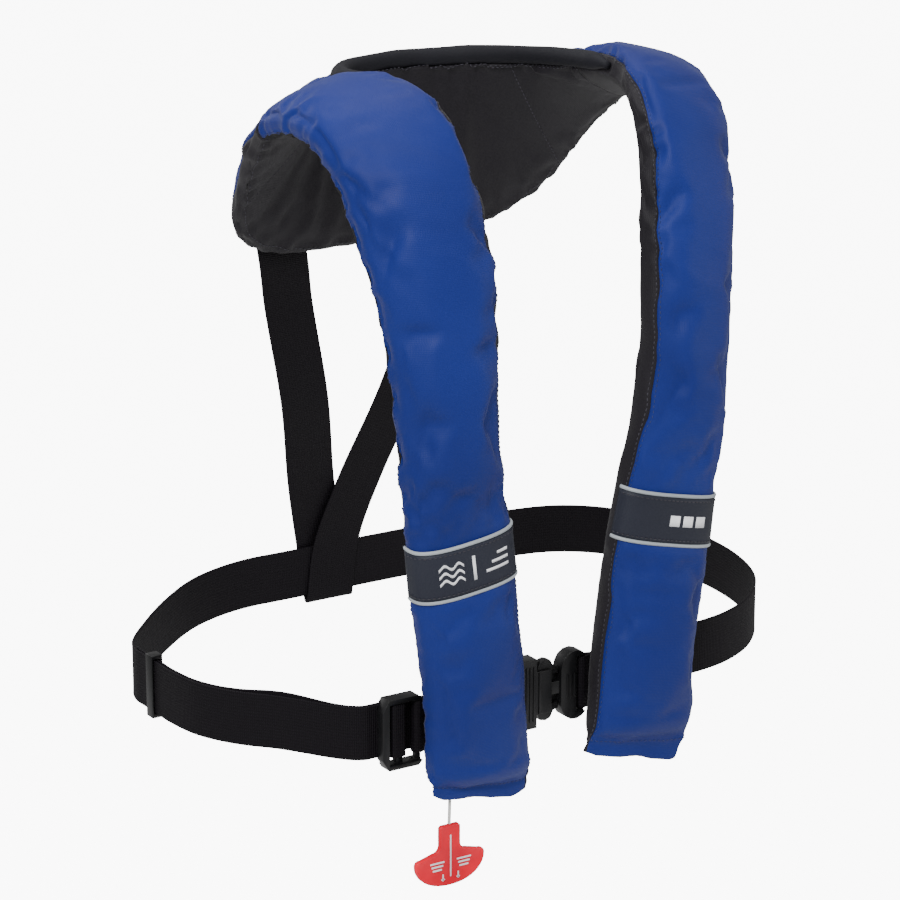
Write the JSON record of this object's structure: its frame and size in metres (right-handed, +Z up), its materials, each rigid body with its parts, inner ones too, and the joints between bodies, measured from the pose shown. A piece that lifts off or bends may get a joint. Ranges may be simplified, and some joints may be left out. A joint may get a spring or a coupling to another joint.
{
  "type": "inflatable life jacket",
  "caption": "Horseshoe inflatable life jacket with packed lobes, neck roll, waist belt with side-release buckle, back strap and pull tab.",
  "frame": {"origin": "neck rest, the point between the shoulders on which a wearer or a hanger carries the jacket", "axes": "+Z up as worn, the wearer faces -Y, +X to the wearer's left"},
  "size_m": [0.4781, 0.3393, 0.5386],
  "materials": {
    "nylon": "matt woven nylon",
    "lining": "matt",
    "hook_tape": "looped",
    "bladder": "coated",
    "neoprene": "smooth",
    "band": "satin",
    "piping": "retroreflective",
    "webbing": "ribbed weave",
    "black_plastic": "satin moulded",
    "white_plastic": "satin",
    "red_plastic": "moulded",
    "cord": "braided",
    "steel": "satin",
    "rubber": "matt"
  },
  "bodies": {
    "root": {"right_front_cover": "nylon", "left_front_cover": "nylon", "back_cover": "nylon", "right_body_panel": "lining", "left_body_panel": "lining", "back_lining": "lining", "right_closure_tape": "hook_tape", "left_closure_tape": "hook_tape", "bladder": "bladder", "neck_roll": "neoprene", "right_reflective_band": "band", "left_reflective_band": "band", "right_band_piping_top": "piping", "left_band_piping_top": "piping", "right_band_piping_bottom": "piping", "left_band_piping_bottom": "piping", "waist_belt": "webbing", "front_web": "webbing", "right_belt_loop": "lining", "left_belt_loop": "lining", "back_strap": "webbing", "buckle_socket": "black_plastic", "belt_adjuster": "black_plastic", "inflator_body": "black_plastic", "lever_pin": "steel", "neck_washer": "rubber", "firing_spring": "steel", "bladder_stem": "black_plastic", "stem_nut": "black_plastic", "soluble_bobbin": "white_plastic", "oral_tube": "black_plastic", "oral_flange": "black_plastic", "oral_valve": "black_plastic"},
    "plug": {"buckle_plug": "black_plastic", "plug_web": "webbing"},
    "prong_upper": {"prong_upper": "black_plastic"},
    "prong_lower": {"prong_lower": "black_plastic"},
    "pull": {"lanyard": "cord", "pull_tab": "red_plastic"},
    "lever": {"manual_lever": "red_plastic"},
    "firing_pin": {"firing_pin": "steel"},
    "gas_cylinder": {"gas_cylinder": "steel"},
    "bobbin_cap": {"bobbin_cap": "black_plastic"},
    "oral_cap": {"oral_cap": "red_plastic"},
    "oral_poppet": {"oral_poppet": "white_plastic"},
    "belt_keeper": {"belt_keeper": "black_plastic"}
  },
  "joints": [
    {"name": "buckle_release", "type": "slide", "parent": "root", "child": "plug", "axis": [1, 0, 0], "range_m": [0, 0.025]},
    {"name": "prong_upper_press", "type": "hinge", "parent": "plug", "child": "prong_upper", "pos_m": [0.013, -0.1155, -0.378], "axis": [0, -1, 0], "range_deg": [0, 8], "stiffness_Nm_per_rad": 0.5},
    {"name": "prong_lower_press", "type": "hinge", "parent": "plug", "child": "prong_lower", "pos_m": [0.013, -0.1155, -0.404], "axis": [0, 1, 0], "range_deg": [0, 8], "stiffness_Nm_per_rad": 0.5},
    {"name": "lanyard_pull", "type": "slide", "parent": "root", "child": "pull", "axis": [0, 0, -1], "range_m": [0, 0.0263], "stiffness_N_per_m": 400, "springref_m": -0.005},
    {"name": "lever_turn", "type": "hinge", "parent": "root", "child": "lever", "pos_m": [-0.07, -0.14338, -0.406], "axis": [0, -1, 0], "range_deg": [0, 70]},
    {"name": "firing_stroke", "type": "slide", "parent": "root", "child": "firing_pin", "axis": [0, 0, 1], "range_m": [0, 0.003], "deforming": ["firing_spring"]},
    {"name": "cylinder_unscrew", "type": "hinge", "parent": "root", "child": "gas_cylinder", "pos_m": [-0.062, -0.14338, -0.33], "axis": [0, 0, 1], "continuous": true},
    {"name": "bobbin_cap_unscrew", "type": "hinge", "parent": "root", "child": "bobbin_cap", "pos_m": [-0.062, -0.14338, -0.424], "axis": [0, 0, 1], "continuous": true},
    {"name": "oral_cap_pull", "type": "slide", "parent": "root", "child": "oral_cap", "axis": [0, 0, 1], "range_m": [0, 0.014]},
    {"name": "oral_valve_press", "type": "slide", "parent": "root", "child": "oral_poppet", "axis": [0, 0, -1], "range_m": [0, 0.0018], "stiffness_N_per_m": 300, "springref_m": -0.0005},
    {"name": "keeper_slide", "type": "slide", "parent": "root", "child": "belt_keeper", "axis": [0, 1, 0], "range_m": [-0.008, 0.008]}
  ],
  "couplings": [
    {"joint": "lever_turn", "follows": "lanyard_pull", "rad_per_m": 46.4},
    {"joint": "firing_stroke", "follows": "lanyard_pull", "ratio": 0.114}
  ]
}
